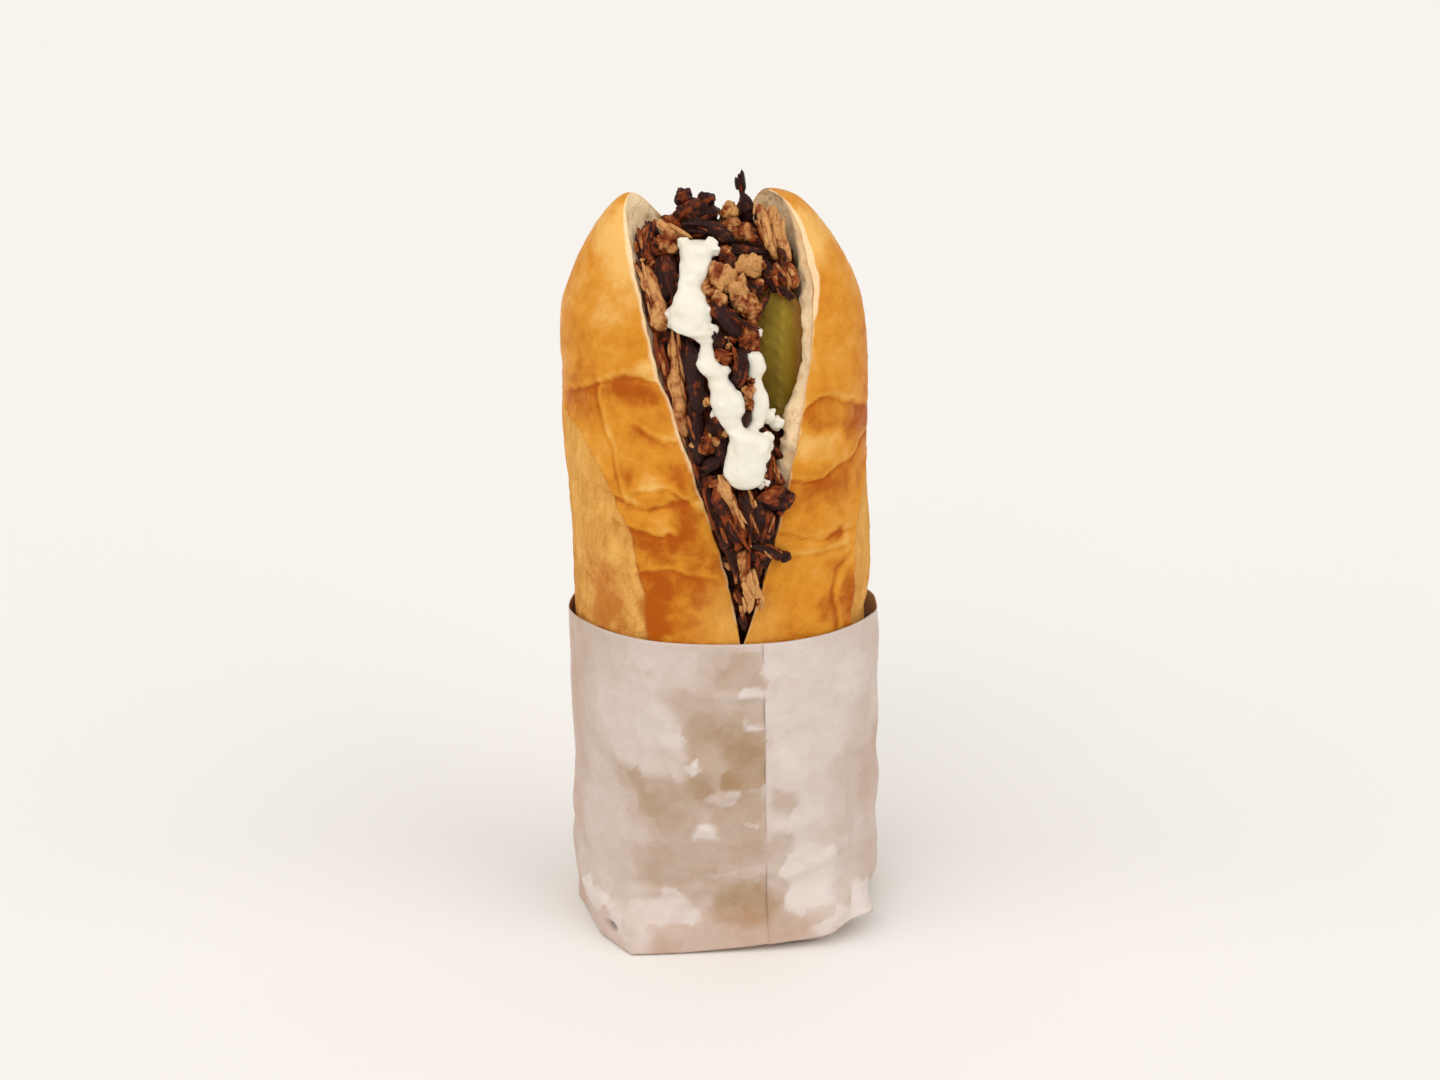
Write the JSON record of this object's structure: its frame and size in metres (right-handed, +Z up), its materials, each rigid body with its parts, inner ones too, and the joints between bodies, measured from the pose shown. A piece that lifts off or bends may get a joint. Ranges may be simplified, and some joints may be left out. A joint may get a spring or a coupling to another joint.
{
  "type": "shawarma sandwich",
  "caption": "Half a short baguette standing in a folded paper sleeve, slit and spread open, filled with shredded roast chicken, garlic sauce and a gherkin slice.",
  "frame": {"origin": "on the ground, at the middle of the sandwich's width and depth", "axes": "+Z up the sandwich from its folded paper base to the tips of the bread, -Y the side the slit opens to, +X to the right of the slit as seen from that side"},
  "size_m": [0.082, 0.0687, 0.1945],
  "materials": {
    "bread": "satin",
    "greaseproof_paper": "satin",
    "roast_chicken": "satin",
    "garlic_sauce": "gloss",
    "gherkin": "gloss"
  },
  "bodies": {
    "root": {"bread_roll": "bread", "paper_sleeve": "greaseproof_paper", "shawarma_meat": "roast_chicken", "garlic_sauce": "garlic_sauce", "gherkin_slice": "gherkin"}
  },
  "joints": []
}
